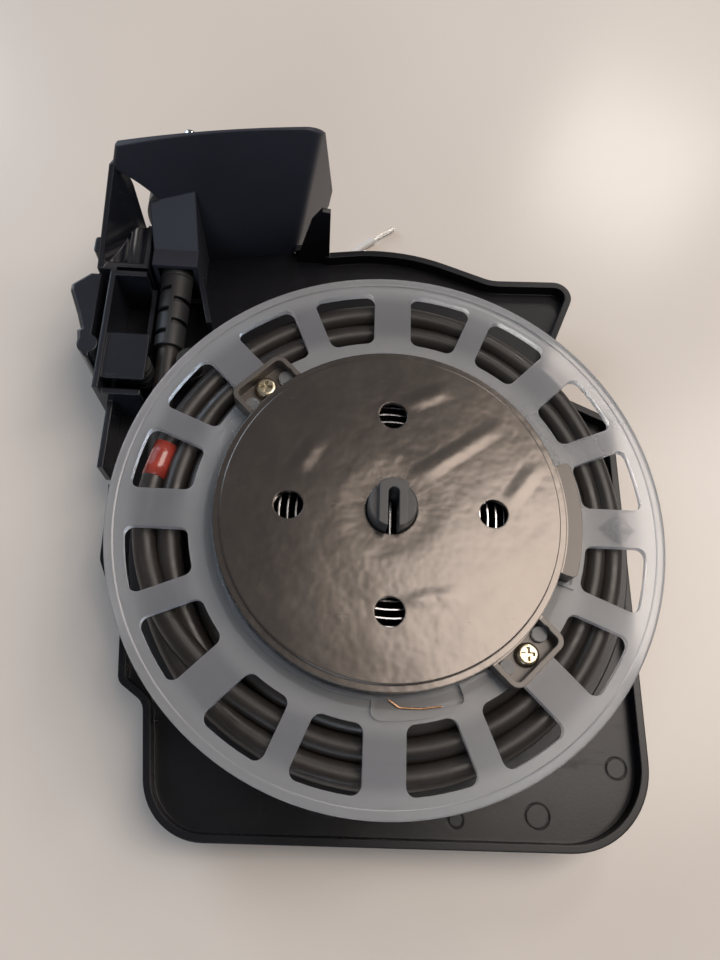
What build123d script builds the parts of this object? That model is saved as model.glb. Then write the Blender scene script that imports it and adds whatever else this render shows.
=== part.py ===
"""Spring-return mains-cord reel of a canister vacuum cleaner, in millimetres.

+Z runs along the reel's axle towards the spring cover. The origin is where the axle's line meets the
plane that the four screw bosses rest on. +Y points from the axle to the plug well.
"""
from math import atan2, cos, degrees, hypot, pi, radians, sin, tan

from build123d import *
import os

# ---- Driving dimensions -------------------------------------------------------------------------

# Heights along the axle
PLATE_BACK = 11.0
PLATE_THICKNESS = 2.5
RIM_HEIGHT = 4.5
RIM_THICKNESS = 2.2
REAR_FLANGE_BACK = 19.0
REAR_FLANGE_THICKNESS = 2.0
CORD_SPACE = 20.8
FRONT_WEB_THICKNESS = 2.4
COVER_HEIGHT = 7.8
FLOOR = PLATE_BACK + PLATE_THICKNESS
RIM_TOP = FLOOR + RIM_HEIGHT
REAR_FLANGE_FRONT = REAR_FLANGE_BACK + REAR_FLANGE_THICKNESS
FRONT_FLANGE_BACK = REAR_FLANGE_FRONT + CORD_SPACE
FLANGE_FRONT = FRONT_FLANGE_BACK + FRONT_WEB_THICKNESS
COVER_FRONT = FLANGE_FRONT + COVER_HEIGHT

# Reel
FRONT_FLANGE_RADIUS = 78.0
REAR_FLANGE_RADIUS = 76.3
DRUM_RADIUS = 51.4
DRUM_WALL = 2.0
HUB_RADIUS = 12.0
FLANGE_LIP_WIDTH = 2.6
FLANGE_LIP_RISE = 0.6
WINDOW_INNER_RADIUS = 55.4
WINDOW_OUTER_RADIUS = 72.8
WINDOW_CORNER = 2.6
WIDE_SPOKE = 11.0
NARROW_SPOKE = 7.0
SPOKE_STEP = 45.0

# Mains cord
CORD_DIAMETER = 6.8
CORD_LAYERS = 3
WINDING_RADIUS = DRUM_RADIUS + CORD_LAYERS * CORD_DIAMETER
CORD_X = -70.8
CORD_Z = 26.0
BODY_GAP = 0.4

# Axle, bushing and contacts
AXLE_RADIUS = 6.7
AXLE_TOP = 56.2
AXLE_BLOCK_WIDTH = 7.6
AXLE_BLOCK_RISE = 2.4
AXLE_SLOT_WIDTH = 3.0
AXLE_SLOT_FLOOR = 28.1
AXLE_BASE_RADIUS = 12.0
AXLE_BASE_HEIGHT = 2.0
RUNNING_FIT = 0.06
BUSHING_RADIUS = 9.0
HUB_TOP = 26.0
BUSHING_TOP = 26.5
CLIP_BOTTOM = 26.8
CLIP_THICKNESS = 1.0
RING_THICKNESS = 1.2
INNER_RING = (16.0, 19.5)
OUTER_RING = (23.5, 27.0)
BRUSH_GAP = 0.15

# Spring cover
COVER_RADIUS = 48.0
COVER_WALL = 1.8
COVER_STEP_WIDTH = 1.8
COVER_STEP_DEPTH = 0.9
VENT_RADIUS = 4.0
VENT_PITCH_RADIUS = 27.8
EAR_ANGLES = (135.0, -45.0)
EAR_WIDTH = 19.0
EAR_REACH = 56.6
EAR_HEIGHT = 6.2
EAR_FLOOR = 1.8
EAR_WALL = 1.4
EAR_SCREW_RADIUS = 51.8
EAR_SCREW_LENGTH = 4.4
PEG_OFFSET = 6.3
PEG_PITCH_RADIUS = 50.4
PEG_RADIUS = 2.0
BUMP_REACH = 52.5
BUMP_HALF_ANGLE = 18.5
POCKET_ANGLE = -80.0
POCKET_HALF_ANGLE = 13.0
POCKET_INNER = 46.2
POCKET_REACH = 53.2
POCKET_FLOOR = FLANGE_FRONT - 1.0

# Power spring
SPRING_WIDTH = 19.5
SPRING_TOP = 47.8
SPRING_STRIP = 0.5
SPRING_INNER = 13.0
SPRING_PITCH = 2.3
SPRING_TURNS = 13

# Screws
SCREW_HEAD_RADIUS = 3.2
SCREW_SHANK_RADIUS = 1.45
BOSS_PILOT_RADIUS = 1.6
BOSS_RADIUS = 4.2
BOSS_SPACING_X = 108.0
BOSS_SPACING_Y = 158.0
BOSS_CENTRE_Y = 7.0

# Plug well: its front wall stands on a line across the top of the plate
WELL_LEFT_FOOT = (-101.9, 96.95)
WELL_LEFT_TOP = (-82.2, 100.06)
WELL_RIGHT_FOOT = (-33.0, 107.8)
WELL_RIGHT_TOP = (-23.5, 109.6)
WELL_BACK_RIGHT = (-22.0, 130.0)
WELL_TOP = 76.0
WELL_WALL = 2.0
WELL_SIDE_SLOPE = 0.51
PLUG_HOLE_RADIUS = 6.0
TUNNEL_HALF_WIDTH = 7.3
TUNNEL_WALL = 1.6

# Plug and strain relief, along +Y
RELIEF_START = 59.0
COLLAR_START = 84.6
NECK_START = 90.0
PLUG_SHOULDER = 109.6
PLUG_FACE = 120.6
PIN_LENGTH = 18.6
PIN_SPACING = 19.0
PIN_RADIUS = 2.4
PLUG_WIDTH = 25.0
PLUG_HEIGHT = 34.0

# Cord guide and brake
GUIDE_TOP = 34.2
GUIDE_WALL = 1.8
SLIT_POSITIONS = (-86.9, -80.9)
SLIT_WIDTH = 1.0
GUIDE_OUTER_X = -95.0
GUIDE_INNER_X = -90.6
BRAKE_PIVOT = (-94.2, 55.5)
BRAKE_BOTTOM = 16.4
BRAKE_ARM_TOP = 20.2
BRAKE_TOP = 34.0
BRAKE_PIN_RADIUS = 1.3
ROLLER_RADIUS = 4.0
BRAKE_ROLLER = (CORD_X - CORD_DIAMETER / 2 - ROLLER_RADIUS - BODY_GAP, 51.0)
GUIDE_ROLLER = (CORD_X + CORD_DIAMETER / 2 + ROLLER_RADIUS + BODY_GAP, 53.5)
ROLLER_BOTTOM = 20.5
ROLLER_TOP = 30.9

# Contact cover and motor leads
CONTACT_HALF_X = 32.0
CONTACT_HALF_Y = 28.0
CONTACT_WALL = 2.0
CONTACT_BACK = 0.0
LEAD_DIAMETER = 2.7
LEAD_EXIT_Z = 5.5
WHITE_LEAD_X = -24.0
BLACK_LEAD_X = -16.0


# ---- Helpers ------------------------------------------------------------------------------------

def outline(corners):
    """A closed face from (x, y, corner radius) points."""
    face = make_face(Polyline(*[(x, y) for x, y, _ in corners], close=True))
    for x, y, radius in corners:
        if radius:
            face = fillet(face.vertices().sort_by_distance((x, y, 0))[0], radius)
    return face


def prism(face, low, high):
    """A flat face raised from height low to height high."""
    return extrude(Pos(0, 0, low) * face, high - low)


def disc(radius, low, high, at=(0, 0)):
    """A round solid standing on height low."""
    return Pos(at[0], at[1], (low + high) / 2) * Cylinder(radius, high - low)


def tube(outer, inner, low, high, at=(0, 0)):
    """A round solid with a bore."""
    return disc(outer, low, high, at) - disc(inner, low - 1, high + 1, at)


def block(x, y, z):
    """A box between (low, high) limits on each axis."""
    size = [limits[1] - limits[0] for limits in (x, y, z)]
    centre = [(limits[1] + limits[0]) / 2 for limits in (x, y, z)]
    return Pos(*centre) * Box(*size)


def sector(inner, outer, angle, half_angle):
    """A flat piece of a ring, centred on an angle."""
    reach = outer * 2
    wedge = make_face(Polyline(
        (0, 0),
        (reach * cos(radians(angle - half_angle)), reach * sin(radians(angle - half_angle))),
        (reach * cos(radians(angle + half_angle)), reach * sin(radians(angle + half_angle))),
        close=True,
    ))
    return (Circle(outer) - Circle(inner)) & wedge


def polar(radius, angle):
    return (radius * cos(radians(angle)), radius * sin(radians(angle)))


def across_y(radius, start, end, x=CORD_X, z=CORD_Z):
    """A round solid lying along +Y."""
    return Pos(x, (start + end) / 2, z) * Rot(90, 0, 0) * Cylinder(radius, end - start)


def boss_positions():
    """The four mounting bosses, at the corners of a rectangle."""
    half_x = BOSS_SPACING_X / 2
    half_y = BOSS_SPACING_Y / 2
    return [(i * half_x, BOSS_CENTRE_Y + j * half_y) for i in (-1, 1) for j in (-1, 1)]


def pan_head_screw(length):
    """A cross-recess tapping screw, its head's underside at height 0 and its point downwards."""
    head = Pos(0, 0, 1.1) * Cylinder(SCREW_HEAD_RADIUS, 2.2)
    head = fillet(head.edges().sort_by(Axis.Z)[-1], 1.2)
    recess = Pos(0, 0, 1.9) * (Box(3.6, 0.9, 1.8) + Box(0.9, 3.6, 1.8))
    shank = Pos(0, 0, -length / 2) * Cylinder(SCREW_SHANK_RADIUS, length)
    return head - recess + shank


# ---- Frame of the reel: plate, well and guide -----------------------------------------------------

PLATE_CORNERS = [
    (-62.5, -86.0, 18),
    (78.6, -86.0, 24),
    (76.4, 46.5, 4),
    (51.5, 57.5, 4),
    (68.4, 99.5, 6),
    (37.0, 98.2, 14),
    (4.0, 109.8, 70),
    (-21.0, 106.0, 0),
    (-29.0, 108.9, 0),
    (-86.0, 100.2, 0),
    (-96.8, 100.2, 2),
    (-96.8, 52.0, 3),
    (-90.8, 43.0, 6),
    (-85.6, 14.0, 6),
    (-85.0, -9.0, 6),
    (-76.4, -28.0, 6),
    (-74.8, -44.5, 4),
    (-67.0, -50.0, 5),
]


def make_base_plate():
    outer = outline(PLATE_CORNERS)
    inner = offset(outer, -RIM_THICKNESS)
    plate = prism(outer, PLATE_BACK, RIM_TOP) - prism(inner, FLOOR, RIM_TOP + 1)
    # The guide and the plug well stand where the rim would be.
    plate -= well_solid(0)
    plate -= block((-100, -33), (92, 112), (FLOOR, RIM_TOP + 1))
    plate -= block((-100, -82), (15, 112), (FLOOR, RIM_TOP + 1))
    for at in boss_positions():
        plate += disc(BOSS_RADIUS, 0, PLATE_BACK, at)
        plate -= disc(BOSS_PILOT_RADIUS, -1, PLATE_BACK - 1.5, at)
    fin = make_face(Polyline((-32.4, FLOOR - 1), (-20.8, FLOOR - 1), (-20.8, 41.0), (-23.6, 41.6), (-27.0, 36.0),
                             (-30.4, 22.0), close=True))
    plate += extrude(Plane.XZ.offset(-106.2) * fin, 1.8)
    plate += disc(AXLE_BASE_RADIUS + 3, FLOOR, FLOOR + 1.0)
    plate -= disc(AXLE_BASE_RADIUS, FLOOR, FLOOR + 2)
    plate -= disc(SCREW_SHANK_RADIUS + 0.4, PLATE_BACK - 1, FLOOR + 1)
    ring_span = (INNER_RING[0] - 3.5, OUTER_RING[1] + 3.0)
    plate -= block(ring_span, (-5, 5), (PLATE_BACK - 1, FLOOR + 2))
    for at in contact_screw_positions():
        plate -= disc(SCREW_SHANK_RADIUS, PLATE_BACK - 1, FLOOR - 0.6, at)
    for x, y, radius in ((70.2, -63.5, 3.2), (46.4, -77.0, 3.6), (23.0, -78.6, 2.3)):
        plate -= tube(radius, radius - 0.4, FLOOR - 0.25, FLOOR + 1, (x, y))
    return plate


def well_section(left_front, right_front, extra):
    """Plan of the plug well at one height; its side walls move with the height."""
    back = WELL_BACK_RIGHT[1] + extra
    slope = (WELL_BACK_RIGHT[0] - WELL_RIGHT_FOOT[0]) / (WELL_BACK_RIGHT[1] - WELL_RIGHT_FOOT[1])
    right_back_x = right_front[0] + slope * (back - right_front[1])
    left_back_x = left_front[0] + WELL_SIDE_SLOPE * (back - left_front[1])
    return outline([(*left_front, 0.8), (*right_front, 5), (right_back_x, back, 0), (left_back_x, back, 0)])


def well_solid(inset):
    """The plug well's outer shape, or what is inside its walls."""
    sections = []
    for height, left, right in ((FLOOR, WELL_LEFT_FOOT, WELL_RIGHT_FOOT), (WELL_TOP, WELL_LEFT_TOP, WELL_RIGHT_TOP)):
        section = well_section(left, right, 2 * inset)
        sections.append(Pos(0, 0, height) * (offset(section, -inset) if inset else section))
    return loft(sections)


def make_relief_tunnel():
    """Short tunnel in front of the well, which holds the strain relief's collar."""
    side = make_face(Polyline((86.0, FLOOR), (86.0, 33.4), (92.0, 33.4), (105.0, 52.0), (105.0, FLOOR), close=True))
    tunnel = extrude(Plane.YZ.offset(CORD_X - TUNNEL_HALF_WIDTH) * side, 2 * TUNNEL_HALF_WIDTH)
    inner = TUNNEL_HALF_WIDTH - TUNNEL_WALL
    tunnel -= block((CORD_X - inner, CORD_X + inner), (80, 110), (FLOOR - 1, 33.4 - TUNNEL_WALL))
    return tunnel - well_solid(0)


def make_plug_well():
    """Tapered shell that the plug parks in: open to the back, with a slanting mouth."""
    shell = well_solid(0) - well_solid(WELL_WALL)
    # The mouth slants from the top of the front wall down to the back, square to the front wall.
    along = Vector(WELL_RIGHT_FOOT[0] - WELL_LEFT_FOOT[0], WELL_RIGHT_FOOT[1] - WELL_LEFT_FOOT[1], 0).normalized()
    front = Plane(origin=(*WELL_LEFT_FOOT, 0), x_dir=(-along.Y, along.X, 0), z_dir=along)
    mouth = make_face(Polyline((1.0, 73.0), (WELL_WALL + 21.5, FLOOR - 1), (80, FLOOR - 1), (80, WELL_TOP + 1),
                               (1.0, WELL_TOP + 1), close=True))
    shell -= extrude(front.offset(-30) * mouth, 140)
    # The guide's side wall takes over from the left wall lower down.
    gap = make_face(Polyline((WELL_WALL + 0.2, 0), (80, 0), (80, 62.6), (WELL_WALL + 0.2, 62.6), close=True))
    shell -= extrude(front.offset(-30) * gap, 74)
    # The front wall's top edge is a slow arch.
    crown = make_face([ThreePointArc((-92, 68.0), (-58, 72.6), (-30, 72.0)),
                       ThreePointArc((-30, 72.0), (-26.2, 70.9), (-23.6, 68.0)),
                       Polyline((-23.6, 68.0), (-18, 60), (-18, 90), (-92, 90), (-92, 68.0))])
    shell -= extrude(Plane.XZ.offset(-150) * crown, 80)
    # An arch in the front wall clears the guide.
    arch = make_face([Polyline((-86.8, 62.4), (-120, 62.4), (-120, 0), (-79.5, 0), (-79.5, 30), (-75.2, 46.9)),
                      ThreePointArc((-75.2, 46.9), (-80.2, 54.9), (-86.8, 62.4))])
    shell -= extrude(Plane.XZ.offset(-150) * arch, 80)
    shell += make_relief_tunnel()
    return shell - across_y(PLUG_HOLE_RADIUS, 98, 112)


def make_side_wall():
    """Upright panel that runs skew from the guide up to the plug well's left corner."""
    along = Vector(WELL_SIDE_SLOPE, 1, 0).normalized()
    outer = Plane(origin=(GUIDE_OUTER_X, 84.0, 0), x_dir=along, z_dir=(along.Y, -along.X, 0))
    panel = make_face(Polyline((0, FLOOR), (23.2, FLOOR), (23.2, 50.0), (21.4, 62.4), (18.0, 62.4), (0, GUIDE_TOP),
                               close=True))
    return extrude(outer * panel, GUIDE_WALL)


def make_cord_guide():
    """Ribbed outlet frame beside the strain relief."""
    # Fluted deck with two long slits
    deck = prism(outline([(-94.0, 84.0, 0), (-86.4, 100.4, 0), (-79.4, 100.4, 0), (-79.4, 84.0, 0)]),
                 GUIDE_TOP - 3.2, GUIDE_TOP)
    for x, radius in ((-89.2, 4.2), (-83.0, 3.6)):
        deck -= Pos(x, 94.6, GUIDE_TOP + radius - 1.4) * Rot(90, 0, 0) * Cylinder(radius, 18.0)
    for x in SLIT_POSITIONS:
        deck -= block((x, x + SLIT_WIDTH), (85.6, 101), (GUIDE_TOP - 4, GUIDE_TOP + 1))
    guide = deck + make_side_wall()
    guide += block((GUIDE_INNER_X, GUIDE_INNER_X + GUIDE_WALL), (40.5, 84.8), (FLOOR, GUIDE_TOP))
    guide += block((GUIDE_OUTER_X, GUIDE_INNER_X + GUIDE_WALL), (83, 84.8), (FLOOR, GUIDE_TOP))
    guide += block((-80.6, -79.0), (84.0, 100.4), (FLOOR, GUIDE_TOP))
    guide += prism(outline([(-97.0, 89.0, 1), (-97.0, 94.8, 1), (-88.6, 94.8, 0), (-91.5, 89.0, 0)]), 26.0, GUIDE_TOP)
    # Cross ribs, from the deck to the step
    guide += block((GUIDE_INNER_X, -79.0), (80.8, 82.6), (FLOOR, GUIDE_TOP))
    guide += block((GUIDE_INNER_X, -81.6), (58.6, 60.2), (FLOOR, GUIDE_TOP - 1.5))
    guide += block((GUIDE_INNER_X, -77.0), (40.5, 42.3), (FLOOR, GUIDE_TOP - 4.0))
    guide += block((-79.0, -77.4), (62.0, 82.6), (FLOOR, 24.0))
    gusset = make_face(Polyline((62.0, FLOOR), (62.0, GUIDE_TOP - 4), (56.0, FLOOR), close=True))
    guide += extrude(Plane.YZ.offset(-79.0) * gusset, 1.6)
    # Cradle wall on the reel's side of the relief
    cradle = outline([(-63.5, 85.6, 0), (-63.5, 84.0, 3), (-59.2, 68.0, 0), (-57.6, 68.5, 0), (-61.7, 84.4, 0),
                      (-61.7, 85.6, 0)])
    guide += prism(cradle, FLOOR, 29.0)
    guide += block((-80.0, -61.8), (84.0, 85.5), (FLOOR, FLOOR + 2.0))
    # A roof over the brake roller
    guide += block((GUIDE_INNER_X, -75.6), (44.5, 60.2), (ROLLER_TOP + 1.0, ROLLER_TOP + 2.3))
    # Window for the brake arm, and the lower side wall
    guide -= block((GUIDE_INNER_X - 1, GUIDE_INNER_X + GUIDE_WALL + 1), (46.5, 57.7), (BRAKE_BOTTOM - 0.5, 21.0))
    guide += block((-88.0, -86.2), (18.0, 40.5), (FLOOR, 25.0))
    return guide


def make_axle_post():
    post = disc(AXLE_RADIUS, FLOOR, AXLE_TOP)
    post = chamfer(post.edges().sort_by(Axis.Z)[-1], 0.5)
    post += disc(AXLE_BASE_RADIUS, FLOOR, FLOOR + AXLE_BASE_HEIGHT)
    key = prism(Rectangle(AXLE_BLOCK_WIDTH, 2 * AXLE_RADIUS) & Circle(AXLE_RADIUS), AXLE_TOP - 1,
                AXLE_TOP + AXLE_BLOCK_RISE)
    post += key
    half = AXLE_SLOT_WIDTH / 2
    post -= block((-half, half), (-AXLE_RADIUS - 1, 2.6), (AXLE_SLOT_FLOOR, AXLE_TOP + 5))
    post -= disc(half, AXLE_SLOT_FLOOR, AXLE_TOP + 5, (0, 2.6))
    return post - disc(SCREW_SHANK_RADIUS, FLOOR - 1, FLOOR + 10)


def make_axle_screw():
    return Pos(0, 0, PLATE_BACK) * Rot(180, 0, 0) * pan_head_screw(11)


# ---- Contacts behind the plate --------------------------------------------------------------------

def contact_screw_positions():
    return [(i * (CONTACT_HALF_X - 4), j * (CONTACT_HALF_Y - 4)) for i in (-1, 1) for j in (-1, 1)]


def make_contact_cover():
    outer = RectangleRounded(2 * CONTACT_HALF_X, 2 * CONTACT_HALF_Y, 5)
    inner = RectangleRounded(2 * (CONTACT_HALF_X - CONTACT_WALL), 2 * (CONTACT_HALF_Y - CONTACT_WALL), 3)
    cover = prism(outer, CONTACT_BACK, PLATE_BACK) - prism(inner, CONTACT_BACK + CONTACT_WALL, PLATE_BACK + 1)
    for at in contact_screw_positions():
        cover += disc(4.0, CONTACT_BACK, PLATE_BACK, at)
        cover -= disc(SCREW_SHANK_RADIUS + 0.15, 0, PLATE_BACK + 1, at)
        cover -= disc(SCREW_HEAD_RADIUS + 0.4, 0, CONTACT_BACK + 2.8, at)
    for x in (WHITE_LEAD_X, BLACK_LEAD_X):
        cover -= Pos(x, CONTACT_HALF_Y, LEAD_EXIT_Z) * Rot(90, 0, 0) * Cylinder(LEAD_DIAMETER / 2 + 0.1, 10)
    return cover


def make_contact_cover_screws():
    screws = [Pos(x, y, CONTACT_BACK + 2.8) * Rot(180, 0, 0) * pan_head_screw(9.2)
              for x, y in contact_screw_positions()]
    return Compound(children=screws)


def make_brush_holder():
    holder = block((13.0, 29.0), (-4.6, 4.6), (CONTACT_BACK + CONTACT_WALL, FLOOR - 0.6))
    for ring in (INNER_RING, OUTER_RING):
        middle = sum(ring) / 2
        holder -= block((middle - 1.6, middle + 1.6), (-2.6, 2.6), (5.0, FLOOR + 1))
    return holder


def make_brush(ring):
    """A carbon brush under one slip ring."""
    middle = sum(ring) / 2
    top = REAR_FLANGE_BACK - RING_THICKNESS - BRUSH_GAP
    brush = block((middle - 1.5, middle + 1.5), (-2.5, 2.5), (8.0, top))
    return fillet(brush.edges().filter_by(Axis.Y).sort_by(Axis.Z)[-2:], 0.8)


def make_brush_spring(ring):
    """The flat spring cell that lifts a brush."""
    middle = sum(ring) / 2
    return tube(1.3, 0.8, 5.0, 8.0, (middle, 0))


WHITE_LEAD_ROUTE = [
    (WHITE_LEAD_X, CONTACT_HALF_Y - CONTACT_WALL, LEAD_EXIT_Z),
    (WHITE_LEAD_X - 0.4, 37.0, LEAD_EXIT_Z - 0.2),
    (-26.0, 50.0, 2.2),
    (-29.5, 66.0, 1.5),
    (-30.5, 84.0, 1.6),
    (-26.0, 101.0, 1.5),
    (-16.5, 115.5, 1.6),
    (-4.5, 125.0, 1.5),
]
BLACK_LEAD_ROUTE = [
    (BLACK_LEAD_X, CONTACT_HALF_Y - CONTACT_WALL, LEAD_EXIT_Z),
    (BLACK_LEAD_X + 0.4, 37.0, LEAD_EXIT_Z - 0.2),
    (-14.6, 50.0, 2.2),
    (-14.0, 67.0, 1.5),
    (-16.0, 84.0, 1.6),
    (-15.6, 101.0, 1.5),
    (-9.0, 116.5, 1.5),
]


def route_radii(points):
    """0.45 of the shorter run beside each corner, over the tangent of half the turn."""
    vectors = [Vector(*point) for point in points]
    radii = []
    for before, corner, after in zip(vectors, vectors[1:], vectors[2:]):
        turn = radians((corner - before).get_angle(after - corner))
        shorter = min((corner - before).length, (after - corner).length)
        radii.append(0.45 * shorter / tan(turn / 2))
    return radii


def cord_tube(name, points, diameter):
    """A cord along straight runs joined by tangent arcs."""
    radii = route_radii(points)
    path = FilletPolyline(*points, radius=radii)
    section = Plane(path @ 0, z_dir=path % 0) * Circle(diameter / 2)
    cord = sweep(section, path)
    share = cord.volume / (pi * diameter ** 2 / 4 * path.length)
    print(f"{name}: length {path.length:.1f}, volume share {share:.3f}, radii "
          + " ".join(f"{radius:.0f}" for radius in radii))
    return cord


def strand_bundle(route, diameter, length):
    """The stripped end of a lead, in line with its last run."""
    end = Vector(*route[-1])
    direction = (end - Vector(*route[-2])).normalized()
    return extrude(Plane(end, z_dir=direction) * Circle(diameter / 2), length)


# ---- Brake ----------------------------------------------------------------------------------------

def make_brake_lever():
    """Lever on the outside of the guide: a finger pad, a pivot boss and an arm to the roller."""
    px, py = BRAKE_PIVOT
    pad = outline([(-93.4, 50.9, 0), (-93.4, 81.6, 0), (-96.9, 81.6, 1), (-102.4, 77.0, 1.2), (-102.4, 74.6, 1.2),
                   (-99.0, 66.2, 2), (-97.2, 61.0, 0), (-98.2, 60.4, 0), (-97.2, 54.0, 1), (-94.4, 50.9, 0)])
    lever = prism(pad, BRAKE_BOTTOM, BRAKE_TOP)
    top = lever.edges().filter_by(lambda edge: edge.center().Z > BRAKE_TOP - 0.1 and edge.center().X < -97.0)
    lever = chamfer(top, 0.9)
    lever += disc(3.2, BRAKE_BOTTOM, BRAKE_TOP, (px, py))
    reach = BRAKE_ROLLER[0] - px
    drop = BRAKE_ROLLER[1] - py
    angle = degrees(atan2(drop, reach))
    arm = Pos(px + reach / 2, py + drop / 2) * Rot(0, 0, angle) * Rectangle(hypot(reach, drop), 4.8)
    lever += prism(arm, BRAKE_BOTTOM, BRAKE_ARM_TOP) + disc(2.4, BRAKE_BOTTOM, BRAKE_ARM_TOP, BRAKE_ROLLER)
    lever -= disc(BRAKE_PIN_RADIUS + RUNNING_FIT, 0, BRAKE_TOP - 2.0, BRAKE_PIVOT)
    return lever - disc(1.2, 0, 60, BRAKE_ROLLER)


def make_brake_pin():
    pin = disc(BRAKE_PIN_RADIUS, FLOOR, BRAKE_TOP - 2.3, BRAKE_PIVOT)
    return pin + disc(2.4, FLOOR, BRAKE_BOTTOM - 0.3, BRAKE_PIVOT)


def make_roller(at):
    roller = tube(ROLLER_RADIUS, 1.2 + RUNNING_FIT, ROLLER_BOTTOM, ROLLER_TOP, at)
    for height in (22.4, 25.7, 29.0):
        roller -= tube(ROLLER_RADIUS + 1, ROLLER_RADIUS - 0.4, height - 0.6, height + 0.6, at)
    return roller


def make_brake_roller_pin():
    return disc(1.2, BRAKE_BOTTOM, ROLLER_TOP + 0.6, BRAKE_ROLLER)


def make_guide_roller_pin():
    pin = disc(1.2, FLOOR, ROLLER_TOP + 0.8, GUIDE_ROLLER)
    return pin + disc(2.2, FLOOR, ROLLER_BOTTOM - 0.3, GUIDE_ROLLER)


def make_brake_spring():
    return tube(3.3, 2.6, FLOOR + 0.4, BRAKE_BOTTOM - 0.4, BRAKE_PIVOT)


# ---- Reel -----------------------------------------------------------------------------------------

def flange_windows():
    """Sixteen windows left between eight wide and eight narrow spokes."""
    ring = Circle(WINDOW_OUTER_RADIUS) - Circle(WINDOW_INNER_RADIUS)
    span = 2 * FRONT_FLANGE_RADIUS
    for step in range(4):
        ring -= Rot(0, 0, SPOKE_STEP * step) * Rectangle(span, WIDE_SPOKE)
        ring -= Rot(0, 0, SPOKE_STEP * (step + 0.5)) * Rectangle(span, NARROW_SPOKE)
    return fillet(ring.vertices(), WINDOW_CORNER)


def make_reel():
    """Drum, front flange and hub in one translucent moulding."""
    reel = disc(FRONT_FLANGE_RADIUS, FRONT_FLANGE_BACK, FLANGE_FRONT)
    lip = tube(FRONT_FLANGE_RADIUS, FRONT_FLANGE_RADIUS - FLANGE_LIP_WIDTH, FRONT_FLANGE_BACK - 0.4,
               FLANGE_FRONT + FLANGE_LIP_RISE)
    reel += fillet(lip.edges().filter_by(GeomType.CIRCLE).group_by(Axis.Z)[-1], 0.5)
    reel -= prism(flange_windows(), FRONT_FLANGE_BACK - 1, FLANGE_FRONT + 1)
    reel += disc(DRUM_RADIUS, REAR_FLANGE_FRONT, FRONT_FLANGE_BACK)
    reel -= disc(DRUM_RADIUS - DRUM_WALL, REAR_FLANGE_FRONT + 2.0, FLANGE_FRONT + 1)
    reel += tube(HUB_RADIUS, BUSHING_RADIUS, REAR_FLANGE_FRONT, HUB_TOP)
    reel -= disc(BUSHING_RADIUS, REAR_FLANGE_FRONT - 1, 30)
    # A shelf inside the drum's mouth carries the cover, the pegs and the screws.
    shelf = tube(DRUM_RADIUS, COVER_RADIUS - 3.2, FRONT_FLANGE_BACK - 2, FLANGE_FRONT - 0.6)
    reel += shelf
    ridge = tube(COVER_RADIUS + 1.5, COVER_RADIUS + BODY_GAP, FLANGE_FRONT - 0.6, FLANGE_FRONT + 0.8)
    ridge += prism(sector(COVER_RADIUS + BODY_GAP, BUMP_REACH + 1.5, 0, BUMP_HALF_ANGLE + 1.4),
                   FLANGE_FRONT, FLANGE_FRONT + 0.8)
    pocket = fillet(sector(POCKET_INNER, POCKET_REACH, POCKET_ANGLE, POCKET_HALF_ANGLE).vertices(), 1.5)
    rim = offset(pocket, 1.2) - Circle(COVER_RADIUS + BODY_GAP)
    ridge += prism(rim, FLANGE_FRONT, FLANGE_FRONT + 0.8)
    reel += ridge
    reel += prism(offset(pocket, 1.2), POCKET_FLOOR - 1.6, FLANGE_FRONT - 0.6)
    reel -= prism(pocket, POCKET_FLOOR, FLANGE_FRONT + 2)
    # Room for the cover's bump and ears
    bump = sector(COVER_RADIUS - 4, BUMP_REACH + BODY_GAP, 0, BUMP_HALF_ANGLE + 0.4)
    reel -= prism(bump, FLANGE_FRONT, FLANGE_FRONT + 2)
    for angle in EAR_ANGLES:
        reel -= prism(ear_face(angle, BODY_GAP), FLANGE_FRONT, FLANGE_FRONT + 2)
        reel -= disc(SCREW_SHANK_RADIUS, FRONT_FLANGE_BACK - 3, FLANGE_FRONT + 1, polar(EAR_SCREW_RADIUS, angle))
        for side in (-1, 1):
            reel += Pos(*peg_position(angle, side), FLANGE_FRONT + 0.9) * Cylinder(PEG_RADIUS, 5.0)
    return reel


def peg_position(angle, side):
    offset_angle = degrees(atan2(side * PEG_OFFSET, PEG_PITCH_RADIUS))
    return polar(hypot(PEG_PITCH_RADIUS, PEG_OFFSET), angle + offset_angle)


def ear_face(angle, gap=0.0):
    """Plan of one screw ear, growing out of the cover's round edge."""
    inner = COVER_RADIUS - 8
    corners = [(inner, -EAR_WIDTH / 2 - gap, 0), (EAR_REACH + gap, -EAR_WIDTH / 2 - gap, 3),
               (EAR_REACH + gap, EAR_WIDTH / 2 + gap, 3), (inner, EAR_WIDTH / 2 + gap, 0)]
    return Rot(0, 0, angle) * outline(corners)


def make_rear_flange():
    flange = tube(REAR_FLANGE_RADIUS, HUB_RADIUS, REAR_FLANGE_BACK, REAR_FLANGE_FRONT)
    edge = flange.edges().filter_by(GeomType.CIRCLE).sort_by(SortBy.LENGTH)[-2:]
    return fillet(edge, 0.6)


def make_bushing():
    return tube(BUSHING_RADIUS, AXLE_RADIUS + RUNNING_FIT, REAR_FLANGE_BACK, BUSHING_TOP)


def make_slip_ring(ring):
    return tube(ring[1], ring[0], REAR_FLANGE_BACK - RING_THICKNESS, REAR_FLANGE_BACK)


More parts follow.
